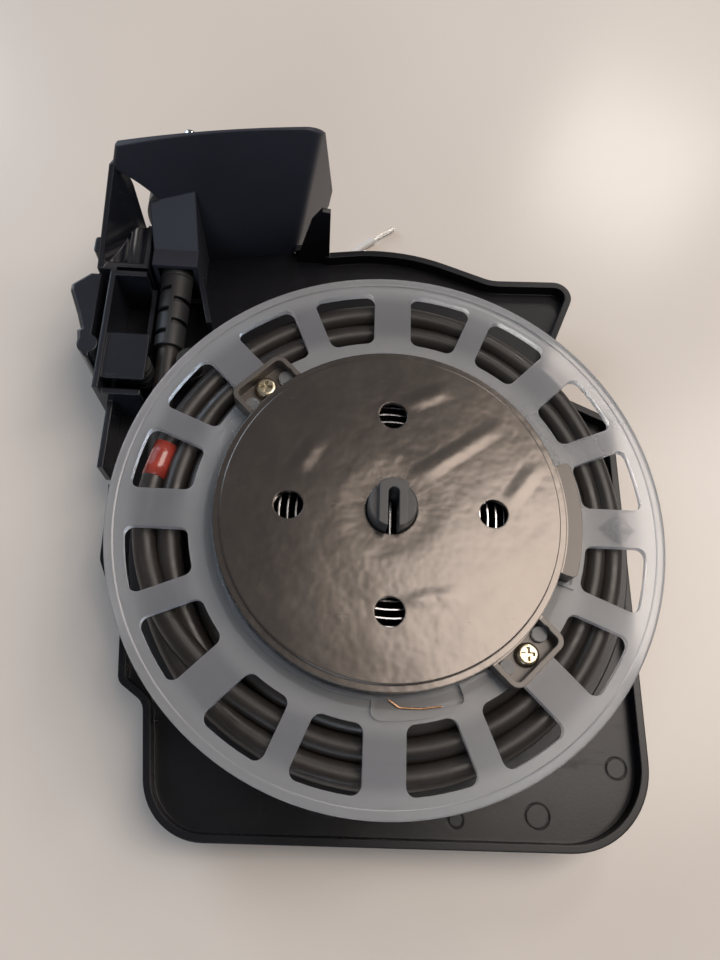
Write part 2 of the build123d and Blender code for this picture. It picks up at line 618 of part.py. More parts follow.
def make_power_spring():
    """Flat strip wound in a plane spiral inside the drum."""
    steps_per_turn = 12
    inner = []
    outer = []
    for step in range(SPRING_TURNS * steps_per_turn + 1):
        angle = 360 * step / steps_per_turn
        radius = SPRING_INNER + SPRING_PITCH * step / steps_per_turn
        inner.append(polar(radius, angle))
        outer.append(polar(radius + SPRING_STRIP, angle))
    edges = [Spline(*inner), Line(inner[-1], outer[-1]), Spline(*outer), Line(outer[0], inner[0])]
    strip = make_face(edges)
    return prism(strip, SPRING_TOP - SPRING_WIDTH, SPRING_TOP)


def make_spring_tail():
    """The spring's inner end, hooked into the axle's slot."""
    low = SPRING_TOP - SPRING_WIDTH
    tail = block((-0.3, 0.3), (-10.6, 3.4), (low, SPRING_TOP))
    return tail + block((-0.3, 5.0), (-11.2, -10.6), (low, SPRING_TOP))


def make_retaining_clip():
    """Washer ring on the axle that keeps the reel from climbing it."""
    return tube(AXLE_RADIUS + 3.0, AXLE_RADIUS, CLIP_BOTTOM, CLIP_BOTTOM + CLIP_THICKNESS)


def make_spring_cover():
    """Pressed-in cover disc with a stepped edge, four vents, two screw ears and a side bump."""
    cover = disc(COVER_RADIUS, FLANGE_FRONT, COVER_FRONT - COVER_STEP_DEPTH)
    cover += disc(COVER_RADIUS - COVER_STEP_WIDTH, FLANGE_FRONT, COVER_FRONT)
    cover = fillet(cover.edges().filter_by(GeomType.CIRCLE).sort_by(Axis.Z)[-1], 0.4)
    bump = fillet(sector(COVER_RADIUS - 4, BUMP_REACH, 0, BUMP_HALF_ANGLE).vertices(), 1.4)
    cover += prism(bump, FLANGE_FRONT, COVER_FRONT - 1.2)
    for angle in EAR_ANGLES:
        ear = prism(ear_face(angle), FLANGE_FRONT, FLANGE_FRONT + EAR_HEIGHT)
        cover += ear
        tray = offset(ear_face(angle), -EAR_WALL) - Circle(COVER_RADIUS)
        cover -= prism(tray, FLANGE_FRONT + EAR_FLOOR, COVER_FRONT + 1)
    cover -= disc(COVER_RADIUS - COVER_WALL, FLANGE_FRONT - 1, COVER_FRONT - COVER_WALL)
    well = sector(COVER_RADIUS - 3, BUMP_REACH - COVER_WALL, 0, BUMP_HALF_ANGLE - 2)
    cover -= prism(well, FLANGE_FRONT - 1, COVER_FRONT - 1.2 - COVER_WALL)
    cover -= disc(AXLE_RADIUS + BODY_GAP, FLANGE_FRONT, COVER_FRONT + 1)
    for step in range(4):
        cover -= disc(VENT_RADIUS, FLANGE_FRONT, COVER_FRONT + 1, polar(VENT_PITCH_RADIUS, 90 * step))
    for angle in EAR_ANGLES:
        at = polar(EAR_SCREW_RADIUS, angle)
        cover -= disc(SCREW_SHANK_RADIUS + 0.2, FLANGE_FRONT - 1, COVER_FRONT, at)
        for side in (-1, 1):
            cover -= disc(PEG_RADIUS + 0.05, FLANGE_FRONT - 1, COVER_FRONT, peg_position(angle, side))
    return cover


def make_cover_screws():
    screws = []
    for angle in EAR_ANGLES:
        x, y = polar(EAR_SCREW_RADIUS, angle)
        screws.append(Pos(x, y, FLANGE_FRONT + EAR_FLOOR) * pan_head_screw(EAR_SCREW_LENGTH))
    return Compound(children=screws)


def make_cord_winding():
    """The wound cord as one ring: the turns lie in three layers of three."""
    return tube(WINDING_RADIUS, DRUM_RADIUS, REAR_FLANGE_FRONT + 0.1, FRONT_FLANGE_BACK - 0.4)


def make_cord_mark():
    """Red tape round the outer turn that warns that the cord is nearly at its end."""
    radius = WINDING_RADIUS + 0.25
    band = sector(WINDING_RADIUS, radius, 170, 3.6)
    return prism(band, FRONT_FLANGE_BACK - 0.4 - CORD_DIAMETER, FRONT_FLANGE_BACK - 0.6)


def make_conductor_tail():
    """A stray copper strand that lies in the empty pocket."""
    height = POCKET_FLOOR + 0.6
    points = [(0.6, -48.9, height + 0.3), (3.6, -50.9, height), (9.0, -51.0, height), (14.6, -50.2, height + 0.2)]
    path = FilletPolyline(*points, radius=[1.5, 3.0])
    return sweep(Plane(path @ 0, z_dir=path % 0) * Circle(0.25), path)


# ---- Plug -----------------------------------------------------------------------------------------

def make_cord_span():
    """The cord between the reel and the strain relief, which the spring keeps tight."""
    clear_radius = WINDING_RADIUS + CORD_DIAMETER / 2 + 0.8
    start = (clear_radius ** 2 - CORD_X ** 2) ** 0.5
    return across_y(CORD_DIAMETER / 2, start, RELIEF_START)


def make_strain_relief():
    """Tapered sleeve with half-round slots on alternate sides."""
    length = COLLAR_START - RELIEF_START
    sleeve = Pos(CORD_X, RELIEF_START + length / 2, CORD_Z) * Rot(-90, 0, 0) * Cone(4.7, 5.2, length)
    for index, y in enumerate((63.6, 67.6, 71.6, 75.6, 79.6)):
        side = 1 if index % 2 else -1
        slot = across_y(6.0, y - 0.8, y + 0.8) - across_y(3.6, y - 1, y + 1)
        limits = (CORD_X + side * 0.6, CORD_X + side * 8)
        sleeve -= slot & block((min(limits), max(limits)), (y - 1, y + 1), (0, 60))
    return sleeve


def make_plug_body():
    """Moulded two-pin plug: collar, neck and flat-sided body."""
    body = across_y(5.4, COLLAR_START, NECK_START)
    body += across_y(5.2, NECK_START, PLUG_SHOULDER - 5)
    neck = Pos(CORD_X, PLUG_SHOULDER - 5, CORD_Z) * Rot(-90, 0, 0) * Circle(5.2)
    shoulder = Pos(CORD_X, PLUG_SHOULDER, CORD_Z) * Rot(-90, 0, 0) * Ellipse(PLUG_WIDTH / 2, PLUG_HEIGHT / 2)
    body += loft([neck, shoulder])
    body += extrude(shoulder, PLUG_FACE - PLUG_SHOULDER)
    return body


def make_plug_pins():
    pins = []
    for side in (-1, 1):
        pin = across_y(PIN_RADIUS, PLUG_FACE, PLUG_FACE + PIN_LENGTH, z=CORD_Z + side * PIN_SPACING / 2)
        pins.append(fillet(pin.edges().sort_by(Axis.Y)[-1], 1.4))
    return Compound(children=pins)


# ---- Export ---------------------------------------------------------------------------------------

def main():
    nodes = {
        "base_plate": make_base_plate(),
        "plug_well": make_plug_well(),
        "cord_guide": make_cord_guide(),
        "axle_post": make_axle_post(),
        "axle_screw": make_axle_screw(),
        "retaining_clip": make_retaining_clip(),
        "spring_tail": make_spring_tail(),
        "contact_cover": make_contact_cover(),
        "contact_cover_screws": make_contact_cover_screws(),
        "brush_holder": make_brush_holder(),
        "brush_inner": make_brush(INNER_RING),
        "brush_outer": make_brush(OUTER_RING),
        "brush_spring_inner": make_brush_spring(INNER_RING),
        "brush_spring_outer": make_brush_spring(OUTER_RING),
        "motor_lead_white": cord_tube("white lead", WHITE_LEAD_ROUTE, LEAD_DIAMETER),
        "motor_lead_black": cord_tube("black lead", BLACK_LEAD_ROUTE, LEAD_DIAMETER),
        "white_lead_strands": strand_bundle(WHITE_LEAD_ROUTE, 1.6, 11.0),
        "black_lead_strands": strand_bundle(BLACK_LEAD_ROUTE, 1.6, 4.0),
        "brake_pin": make_brake_pin(),
        "brake_spring": make_brake_spring(),
        "guide_roller": make_roller(GUIDE_ROLLER),
        "guide_roller_pin": make_guide_roller_pin(),
        "brake_lever": make_brake_lever(),
        "brake_roller": make_roller(BRAKE_ROLLER),
        "brake_roller_pin": make_brake_roller_pin(),
        "reel": make_reel(),
        "rear_flange": make_rear_flange(),
        "hub_bushing": make_bushing(),
        "slip_ring_inner": make_slip_ring(INNER_RING),
        "slip_ring_outer": make_slip_ring(OUTER_RING),
        "power_spring": make_power_spring(),
        "spring_cover": make_spring_cover(),
        "cover_screws": make_cover_screws(),
        "cord_winding": make_cord_winding(),
        "cord_mark": make_cord_mark(),
        "conductor_tail": make_conductor_tail(),
        "cord_span": make_cord_span(),
        "strain_relief": make_strain_relief(),
        "plug_body": make_plug_body(),
        "plug_pins": make_plug_pins(),
    }
    os.makedirs("parts", exist_ok=True)
    for name, solid in nodes.items():
        export_step(solid, f"parts/{name}.step")


main()
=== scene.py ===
"""Looks for the spring-return mains cord reel. Metres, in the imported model's frame."""
import math
import random

import bpy
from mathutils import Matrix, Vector


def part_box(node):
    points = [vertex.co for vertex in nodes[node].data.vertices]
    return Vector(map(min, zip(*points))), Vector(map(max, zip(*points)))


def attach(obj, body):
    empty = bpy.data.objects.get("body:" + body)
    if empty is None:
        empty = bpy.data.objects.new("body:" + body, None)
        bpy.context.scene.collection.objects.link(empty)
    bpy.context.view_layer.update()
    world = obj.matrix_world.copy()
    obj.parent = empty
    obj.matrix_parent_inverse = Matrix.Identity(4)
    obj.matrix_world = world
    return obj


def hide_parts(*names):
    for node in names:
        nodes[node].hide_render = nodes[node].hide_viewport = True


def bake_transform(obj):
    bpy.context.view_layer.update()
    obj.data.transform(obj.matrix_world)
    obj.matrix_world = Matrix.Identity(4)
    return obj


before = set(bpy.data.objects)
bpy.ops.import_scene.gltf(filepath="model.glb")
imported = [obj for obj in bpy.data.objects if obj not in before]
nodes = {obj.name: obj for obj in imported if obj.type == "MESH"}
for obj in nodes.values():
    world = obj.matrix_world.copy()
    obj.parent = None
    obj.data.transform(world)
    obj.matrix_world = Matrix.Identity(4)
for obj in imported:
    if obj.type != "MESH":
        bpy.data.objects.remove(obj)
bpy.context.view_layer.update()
MM = 0.001


# ---- Node helpers -------------------------------------------------------------------------------

class Shader:
    """A material being built around one Principled BSDF."""

    def __init__(self, name):
        self.material = bpy.data.materials.new(name)
        self.material.use_nodes = True
        self.tree = self.material.node_tree
        self.surface = self.tree.nodes["Principled BSDF"]
        self.coordinates = self.add("ShaderNodeTexCoord").outputs["Object"]

    def add(self, kind, **values):
        node = self.tree.nodes.new(kind)
        for key, value in values.items():
            if hasattr(node, key):
                setattr(node, key, value)
            else:
                node.inputs[key.replace("_", " ")].default_value = value
        return node

    def link(self, source, target):
        self.tree.links.new(source, target)

    def stretched(self, x=1.0, y=1.0, z=1.0):
        mapping = self.add("ShaderNodeMapping")
        mapping.inputs["Scale"].default_value = (x, y, z)
        self.link(self.coordinates, mapping.inputs["Vector"])
        return mapping.outputs["Vector"]

    def noise(self, scale, detail=4.0, rough=0.55, vector=None):
        node = self.add("ShaderNodeTexNoise")
        node.inputs["Scale"].default_value = scale
        node.inputs["Detail"].default_value = detail
        node.inputs["Roughness"].default_value = rough
        self.link(vector or self.coordinates, node.inputs["Vector"])
        return node.outputs["Fac"]

    def ramp(self, value, low, high, at=(0.3, 0.7), blend="LINEAR"):
        """Maps a 0-1 value to a span between two greys or colours."""
        node = self.add("ShaderNodeValToRGB")
        node.color_ramp.interpolation = blend
        ends = node.color_ramp.elements
        for end, place, colour in zip(ends, at, (low, high)):
            end.position = place
            end.color = colour if hasattr(colour, "__len__") else (colour, colour, colour, 1)
        self.link(value, node.inputs["Fac"])
        return node.outputs["Color"]

    def mix(self, factor, first, second):
        node = self.add("ShaderNodeMix", data_type="RGBA")
        for source, socket in ((factor, node.inputs[0]), (first, node.inputs[6]), (second, node.inputs[7])):
            if hasattr(source, "links"):
                self.link(source, socket)
            else:
                socket.default_value = source
        return node.outputs[2]

    def math(self, operation, first, second):
        node = self.add("ShaderNodeMath", operation=operation)
        for source, socket in ((first, node.inputs[0]), (second, node.inputs[1])):
            if hasattr(source, "links"):
                self.link(source, socket)
            else:
                socket.default_value = source
        return node.outputs[0]

    def bump(self, heights, edge=0.0):
        """Stacks (height, strength, distance) bumps, with rounded edges below them."""
        normal = None
        if edge:
            rounded = self.add("ShaderNodeBevel", samples=6)
            rounded.inputs["Radius"].default_value = edge
            normal = rounded.outputs["Normal"]
        for height, strength, distance in heights:
            node = self.add("ShaderNodeBump")
            node.inputs["Strength"].default_value = strength
            node.inputs["Distance"].default_value = distance
            self.link(height, node.inputs["Height"])
            if normal:
                self.link(normal, node.inputs["Normal"])
            normal = node.outputs["Normal"]
        self.link(normal, self.surface.inputs["Normal"])

    def set(self, **values):
        for key, value in values.items():
            self.surface.inputs[key.replace("_", " ")].default_value = value
        return self

    def colour(self, source):
        self.link(source, self.surface.inputs["Base Color"])

    def roughness(self, source):
        self.link(source, self.surface.inputs["Roughness"])


def rgb(r, g, b):
    return (r, g, b, 1.0)


def moulded_black(name, dark, light, rough, edge, grain, specular=0.5):
    """Injection-moulded black plastic: slow flow shades, fine grain, dust and scuffs."""
    s = Shader(name)
    flow = s.noise(14, 5, 0.6)
    dust = s.ramp(s.noise(950, 3, 0.7), 0.0, 1.0, (0.66, 0.8))
    scuff = s.ramp(s.noise(60, 6, 0.7, s.stretched(1, 3.5, 1)), 0.0, 1.0, (0.6, 0.78))
    base = s.ramp(flow, dark, light, (0.25, 0.8))
    base = s.mix(s.math("MULTIPLY", dust, 0.10), base, rgb(0.30, 0.28, 0.26))
    s.colour(base)
    s.roughness(s.mix(scuff, s.ramp(flow, rough[0], rough[1]), rgb(rough[2], rough[2], rough[2])))
    s.bump([(s.noise(grain, 4, 0.6), 0.16, 0.00015), (scuff, 0.06, 0.0001)], edge)
    s.set(Specular_IOR_Level=specular, IOR=1.49)
    return s.material


# Creases that run out of the cover's vents and hub, from start to end in millimetres.
COVER_CREASES = [((4.3, 31.7), (18.1, 37.6)), ((6.6, 9.2), (32.3, 28.0)), ((31.9, 2.8), (41.0, 15.6)),
                 ((3.9, -25.2), (20.4, -22.0)), ((-26.0, 10.1), (-20.0, 20.2))]


def crease(s, x, y, start, end):
    """Soft ridge along a line, which fades out towards its end."""
    run = math.dist(start, end)
    ux = (end[0] - start[0]) / run
    uy = (end[1] - start[1]) / run
    dx = s.math("SUBTRACT", x, start[0] * MM)
    dy = s.math("SUBTRACT", y, start[1] * MM)
    along = s.math("ADD", s.math("MULTIPLY", dx, ux / (run * MM)), s.math("MULTIPLY", dy, uy / (run * MM)))
    across = s.math("SUBTRACT", s.math("MULTIPLY", dx, uy), s.math("MULTIPLY", dy, ux))
    ridge = s.ramp(s.math("ABSOLUTE", s.math("MULTIPLY", across, 250.0), 0.0), 1.0, 0.0, (0.0, 0.9), "EASE")
    centred = s.math("ABSOLUTE", s.math("SUBTRACT", along, 0.45), 0.0)
    return s.math("MULTIPLY", ridge, s.ramp(centred, 1.0, 0.0, (0.15, 0.62), "EASE"))


def cover_plastic():
    """Thin moulded cover: polished, sinking slightly, with flow lines running out from the middle."""
    s = Shader("cover_satin")
    gradient = s.add("ShaderNodeTexGradient", gradient_type="RADIAL")
    s.link(s.coordinates, gradient.inputs["Vector"])
    spokes = s.add("ShaderNodeTexNoise", noise_dimensions="1D")
    spokes.inputs["Scale"].default_value = 26
    spokes.inputs["Detail"].default_value = 5
    s.link(gradient.outputs["Fac"], spokes.inputs["W"])
    slow = s.noise(34, 4, 0.6)
    scratch = s.ramp(s.noise(160, 6, 0.75, s.stretched(1, 6, 1)), 0.0, 1.0, (0.64, 0.76))
    dust = s.ramp(s.noise(1300, 3, 0.7), 0.0, 1.0, (0.68, 0.8))
    base = s.ramp(slow, rgb(0.020, 0.017, 0.016), rgb(0.036, 0.031, 0.028), (0.25, 0.8))
    base = s.mix(s.math("MULTIPLY", dust, 0.2), base, rgb(0.36, 0.32, 0.29))
    s.colour(base)
    satin = s.mix(scratch, s.ramp(slow, 0.20, 0.26), rgb(0.34, 0.34, 0.34))
    separate = s.add("ShaderNodeSeparateXYZ")
    s.link(s.coordinates, separate.inputs["Vector"])
    x = separate.outputs["X"]
    y = separate.outputs["Y"]
    creases = 0.0
    for start, end in COVER_CREASES:
        creases = s.math("ADD", crease(s, x, y, start, end), creases)
    squares = s.math("ADD", s.math("MULTIPLY", x, x), s.math("MULTIPLY", y, y))
    radius = s.math("SQRT", squares, 0.0)
    dish = s.ramp(s.math("MULTIPLY", radius, 50.0), 0.0, 1.0, (0.36, 0.80), "EASE")
    s.roughness(s.mix(s.math("GREATER_THAN", radius, 0.0485), satin, rgb(0.55, 0.55, 0.55)))
    flow_lines = spokes.outputs["Fac"]
    grain = s.noise(1500, 3)
    s.bump([(dish, 0.5, 0.0004), (creases, 0.5, 0.0004), (slow, 0.5, 0.0010), (flow_lines, 0.06, 0.0003),
            (grain, 0.05, 0.0001)], 0.0005)
    s.set(Specular_IOR_Level=1.0, IOR=1.6, Coat_Weight=0.5, Coat_Roughness=0.2)
    s.surface.inputs["Specular Tint"].default_value = rgb(1.0, 0.90, 0.83)
    s.surface.inputs["Coat Tint"].default_value = rgb(1.0, 0.96, 0.93)
    return s.material


def frosted_flange():
    """Natural polypropylene: milky, a little see-through, with one rubbed patch on a spoke and a ring of painted
    shade over the wound cord.
    """
    s = Shader("flange_polypropylene")
    cloud = s.noise(22, 4, 0.6)
    separate = s.add("ShaderNodeSeparateXYZ")
    s.link(s.coordinates, separate.inputs["Vector"])
    across = s.math("ABSOLUTE", s.math("SUBTRACT", separate.outputs["X"], 0.0645), 0.0)
    along = s.math("ABSOLUTE", s.math("SUBTRACT", separate.outputs["Y"], -0.0005), 0.0)
    reach = s.math("ADD", s.math("MULTIPLY", across, 160.0), s.math("MULTIPLY", along, 190.0))
    patch = s.ramp(reach, 1.0, 0.0, (0.55, 1.0))
    rubbed = s.math("MULTIPLY", patch, s.ramp(s.noise(420, 5, 0.8), 0.0, 1.0, (0.45, 0.6)))
    base = s.ramp(cloud, rgb(0.87, 0.885, 0.92), rgb(0.93, 0.94, 0.965), (0.25, 0.8))
    # Painted shade: a darker, bluer ring of base colour over the wound cord, standing in for the dark cord
    # showing through the milky plastic.
    squares = s.math("ADD", s.math("MULTIPLY", separate.outputs["X"], separate.outputs["X"]),
                     s.math("MULTIPLY", separate.outputs["Y"], separate.outputs["Y"]))
    off_middle = s.math("ABSOLUTE", s.math("SUBTRACT", s.math("SQRT", squares, 0.0), 0.0645), 0.0)
    painted_cord_shade = s.ramp(s.math("MULTIPLY", off_middle, 60.0), 1.0, 0.0, (0.25, 0.55), "EASE")
    base = s.mix(s.math("MULTIPLY", painted_cord_shade, 0.75), base, rgb(0.56, 0.57, 0.62))
    base = s.mix(rubbed, base, rgb(0.97, 0.98, 0.99))
    s.colour(base)
    s.roughness(s.mix(rubbed, s.ramp(cloud, 0.26, 0.34), rgb(0.75, 0.75, 0.75)))
    s.bump([(rubbed, 0.4, 0.0004)])
    s.set(Transmission_Weight=0.82, IOR=1.4, Specular_IOR_Level=0.5)
    return s.material


def cord_rubber(name="cord_sheath"):
    """Rubber sheath: matt with polished rubs and grey dust."""
    s = Shader(name)
    slow = s.noise(45, 5, 0.65)
    rub = s.ramp(s.noise(120, 6, 0.7), 0.0, 1.0, (0.5, 0.68))
    dust = s.ramp(s.noise(900, 3, 0.75), 0.0, 1.0, (0.62, 0.78))
    base = s.ramp(slow, rgb(0.014, 0.012, 0.011), rgb(0.034, 0.028, 0.025), (0.25, 0.8))
    base = s.mix(s.math("MULTIPLY", dust, 0.22), base, rgb(0.22, 0.19, 0.17))
    s.colour(base)
    s.roughness(s.mix(rub, s.ramp(slow, 0.36, 0.48), rgb(0.28, 0.28, 0.28)))
    s.bump([(s.noise(900, 4), 0.12, 0.0001), (slow, 0.2, 0.0004)])
    s.set(Specular_IOR_Level=0.5)
    return s.material


def metal(name, colour, rough, grain=900, stretch=(1, 1, 6)):
    s = Shader(name)
    lines = s.noise(grain, 5, 0.7, s.stretched(*stretch))
    tarnish = s.noise(180, 4, 0.6)
    darker = tuple(0.72 * c for c in colour) + (1.0,)
    s.colour(s.ramp(tarnish, darker, (*colour, 1.0), (0.3, 0.65)))
    s.roughness(s.ramp(lines, rough[0], rough[1]))
    s.bump([(lines, 0.12, 0.0001)], 0.0002)
    s.set(Metallic=1.0)
    return s.material


def soft_skin(name, low, high, rough):
    """PVC lead sheath or glossy tape."""
    s = Shader(name)
    slow = s.noise(160, 4, 0.6)
    s.colour(s.ramp(slow, low, high, (0.25, 0.8)))
    s.roughness(s.ramp(s.noise(420, 4), rough[0], rough[1]))
    s.bump([(s.noise(300, 4), 0.2, 0.0002)])
    return s.material


def tabletop():
    s = Shader("pale_table")
    grain = s.noise(500, 4, 0.6)
    slow = s.noise(3, 3)
    s.colour(s.ramp(slow, rgb(0.72, 0.66, 0.61), rgb(0.78, 0.72, 0.67), (0.3, 0.7)))
    s.roughness(s.ramp(grain, 0.20, 0.27))
    s.bump([(grain, 0.06, 0.0003)])
    s.set(Specular_IOR_Level=0.45)
    return s.material


# ---- Materials on the CAD nodes -------------------------------------------------------------------

frame_black = moulded_black("frame_black_plastic", rgb(0.006, 0.006, 0.008), rgb(0.013, 0.013, 0.017),
                            (0.24, 0.34, 0.50), 0.0006, 1400, 0.35)
polished_black = moulded_black("polished_frame_plastic", rgb(0.012, 0.013, 0.018), rgb(0.022, 0.024, 0.033),
                               (0.17, 0.25, 0.38), 0.0007, 1400, 0.6)
# Painted light: the plug well is the frame's black plastic, given a lighter, bluish base colour for the cool
# light falling on its front wall.
painted_light_hood_black = moulded_black("hood_plastic_painted_light", rgb(0.030, 0.032, 0.043), rgb(0.048, 0.051, 0.068),
                           (0.32, 0.42, 0.50), 0.0007, 1400, 0.2)
worn_axle = moulded_black("worn_axle_plastic", rgb(0.040, 0.040, 0.043), rgb(0.110, 0.108, 0.106),
                          (0.30, 0.42, 0.52), 0.0004, 900, 0.5)
rear_black = moulded_black("rear_flange_plastic", rgb(0.010, 0.010, 0.012), rgb(0.022, 0.022, 0.026),
                           (0.34, 0.44, 0.55), 0.0004, 1400)
plug_black = moulded_black("plug_rubber", rgb(0.016, 0.016, 0.018), rgb(0.034, 0.034, 0.036),
                           (0.42, 0.55, 0.62), 0.0007, 900)
cover_satin = cover_plastic()
flange_clear = frosted_flange()
sheath = cord_rubber()
screw_steel = metal("zinc_screw", (0.78, 0.68, 0.50), (0.22, 0.36))
spring_steel = metal("spring_strip", (0.72, 0.72, 0.74), (0.18, 0.32))
brass = metal("slip_ring_brass", (0.78, 0.60, 0.30), (0.20, 0.34), 500, (1, 1, 1))
plated = metal("plated_pin", (0.80, 0.80, 0.82), (0.10, 0.22))
copper = metal("copper_strand", (0.83, 0.47, 0.27), (0.22, 0.36))
tinned = metal("tinned_strand", (0.80, 0.79, 0.77), (0.22, 0.38))
carbon = soft_skin("pressed_carbon", rgb(0.02, 0.02, 0.02), rgb(0.06, 0.06, 0.06), (0.45, 0.6))
roller_grey = soft_skin("roller_acetal", rgb(0.020, 0.020, 0.021), rgb(0.045, 0.045, 0.046), (0.32, 0.45))
white_pvc = soft_skin("white_lead_sheath", rgb(0.66, 0.66, 0.66), rgb(0.80, 0.80, 0.79), (0.35, 0.5))
black_pvc = soft_skin("black_lead_sheath", rgb(0.015, 0.015, 0.017), rgb(0.03, 0.03, 0.033), (0.35, 0.5))
red_tape = soft_skin("red_tape_film", rgb(0.26, 0.030, 0.022), rgb(0.50, 0.070, 0.045), (0.18, 0.32))
red_tape.node_tree.nodes["Principled BSDF"].inputs["Coat Weight"].default_value = 0.6

DRESS = {
    worn_axle: ["axle_post"],
    frame_black: ["base_plate", "contact_cover", "brush_holder", "brake_pin", "guide_roller_pin"],
    polished_black: ["cord_guide", "brake_lever"],
    painted_light_hood_black: ["plug_well"],
    rear_black: ["rear_flange"],
    plug_black: ["strain_relief", "plug_body"],
    cover_satin: ["spring_cover"],
    flange_clear: ["reel"],
    sheath: ["cord_winding", "cord_span"],
    screw_steel: ["axle_screw", "contact_cover_screws", "cover_screws"],
    spring_steel: ["retaining_clip", "spring_tail", "brush_spring_inner", "brush_spring_outer", "brake_spring",
                   "brake_roller_pin", "power_spring"],
    brass: ["hub_bushing", "slip_ring_inner", "slip_ring_outer"],
    plated: ["plug_pins"],
    copper: ["conductor_tail", "white_lead_strands", "black_lead_strands"],
    carbon: ["brush_inner", "brush_outer"],
    roller_grey: ["guide_roller", "brake_roller"],
    white_pvc: ["motor_lead_white"],
    black_pvc: ["motor_lead_black"],
    red_tape: ["cord_mark"],
}
for material, names in DRESS.items():
    for name in names:
        for slot in nodes[name].material_slots:
            slot.material = material


# ---- Geometry helpers -----------------------------------------------------------------------------

def mesh_object(name, vertices, faces, material, smooth=True):
    mesh = bpy.data.meshes.new(name)
    mesh.from_pydata(vertices, [], faces)
    mesh.materials.append(material)
    for face in mesh.polygons:
        face.use_smooth = smooth
    mesh.update()
    piece = bpy.data.objects.new(name, mesh)
    bpy.context.scene.collection.objects.link(piece)
    return piece


def tube_mesh(name, path, radius_at, material, sides=20):
    """A tube along a list of points, closed at both ends; radius_at gives its radius at each point."""
    vertices = []
    faces = []
    normal = Vector((0, 0, 1))
    for i, point in enumerate(path):
        ahead = path[min(i + 1, len(path) - 1)]
        behind = path[max(i - 1, 0)]
        along = (ahead - behind).normalized()
        normal = (normal - along * normal.dot(along)).normalized()
        side = along.cross(normal)
        for k in range(sides):
            turn = 2 * math.pi * k / sides
            radius = radius_at(i, turn)
            vertices.append(point + (normal * math.cos(turn) + side * math.sin(turn)) * radius)
    for i in range(len(path) - 1):
        for k in range(sides):
            a = i * sides + k
            b = i * sides + (k + 1) % sides
            faces.append((a, a + sides, b + sides, b))
    faces.append(tuple(range(sides)))
    faces.append(tuple(reversed(range((len(path) - 1) * sides, len(path) * sides))))
    return mesh_object(name, vertices, faces, material)


def route_curve(name, points, diameter, material):
    """A smooth cord: one open NURBS spline of third order through millimetre control points."""
    curve = bpy.data.curves.new(name, "CURVE")
    curve.dimensions = "3D"
    curve.bevel_depth = diameter / 2
    curve.bevel_resolution = 6
    curve.resolution_u = 12
    curve.use_fill_caps = True
    spline = curve.splines.new("NURBS")
    spline.points.add(len(points) - 1)
    for control, point in zip(spline.points, points):
        control.co = (*[c * MM for c in point], 1.0)
    spline.order_u = 3
    spline.use_endpoint_u = True
    curve.materials.append(material)
    piece = bpy.data.objects.new(name, curve)
    bpy.context.scene.collection.objects.link(piece)
    return piece


# ---- The wound cord -------------------------------------------------------------------------------

CORD_RADIUS = 3.4 * MM
COLUMNS = (24.5 * MM, 31.25 * MM, 38.0 * MM)
LAYERS = (54.8 * MM, 61.6 * MM, 68.4 * MM)
TURN_STEPS = 120
TAPE_ANGLE = math.radians(167.5)
TAPE_HALF_ANGLE = math.radians(6.4)
SLACK = 3.6 * MM


def smooth_step(t):
    t = min(max(t, 0.0), 1.0)
    return t * t * (3 - 2 * t)


def wander(angle, seed):
    """Slow random sway, the same on every run."""
    source = random.Random(seed)
    total = 0.0
    for harmonic in range(2, 7):
        total += math.sin(harmonic * angle + source.uniform(0, 6.28)) * source.uniform(0.4, 1.0) / harmonic
    return total


def winding_path():
    """Nine turns, three to a layer, laid clockwise from the drum outwards to the left-hand side."""
    order = []
    for index, layer in enumerate(LAYERS):
        columns = COLUMNS if index % 2 else COLUMNS[::-1]
        order += [(layer, column) for column in columns]
    path = []
    for turn, (layer, column) in enumerate(order):
        following = order[turn + 1] if turn + 1 < len(order) else (layer, column)
        for step in range(TURN_STEPS):
            share = step / TURN_STEPS
            cross = smooth_step((share - 0.82) / 0.18)
            angle = math.pi - 2 * math.pi * (share - 1.0)
            inward = -0.55 * MM if layer == LAYERS[-1] else 0.35 * MM
            radius = layer + (following[0] - layer) * cross + inward * abs(wander(angle, turn + 3))
            # The outer turns are pulled in on the side away from the outlet.
            pulled = smooth_step(1 - abs(math.remainder(angle, 2 * math.pi)) / 1.5)
            radius -= SLACK * pulled * (radius - LAYERS[0]) / (LAYERS[2] - LAYERS[0])
            height = column + (following[1] - column) * cross
            height += 0.5 * MM * wander(angle, turn + 40) * (1 - cross)
            height = min(max(height, COLUMNS[0]), COLUMNS[2])
            path.append(Vector((radius * math.cos(angle), radius * math.sin(angle), height)))
    path.append(Vector((-LAYERS[-1], 0, COLUMNS[0])))
    return path


turns = winding_path()
winding = tube_mesh("wound_cord", turns, lambda i, turn: CORD_RADIUS, sheath)
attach(winding, "reel")
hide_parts("cord_winding")

# Red tape lies round the first turn of the outer layer, in the front column.
outer_front = turns[6 * TURN_STEPS:7 * TURN_STEPS]
taped = [p for p in outer_front
         if abs(math.remainder(math.atan2(p.y, p.x) - TAPE_ANGLE, 2 * math.pi)) < TAPE_HALF_ANGLE]


def tape_radius(i, turn):
    """Tape lies loosely on the cord, so it is not quite round."""
    return CORD_RADIUS + (0.16 + 0.10 * math.sin(2 * turn)) * MM


tape = tube_mesh("warning_tape", taped, tape_radius, red_tape, 28)
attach(tape, "reel")
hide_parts("cord_mark")

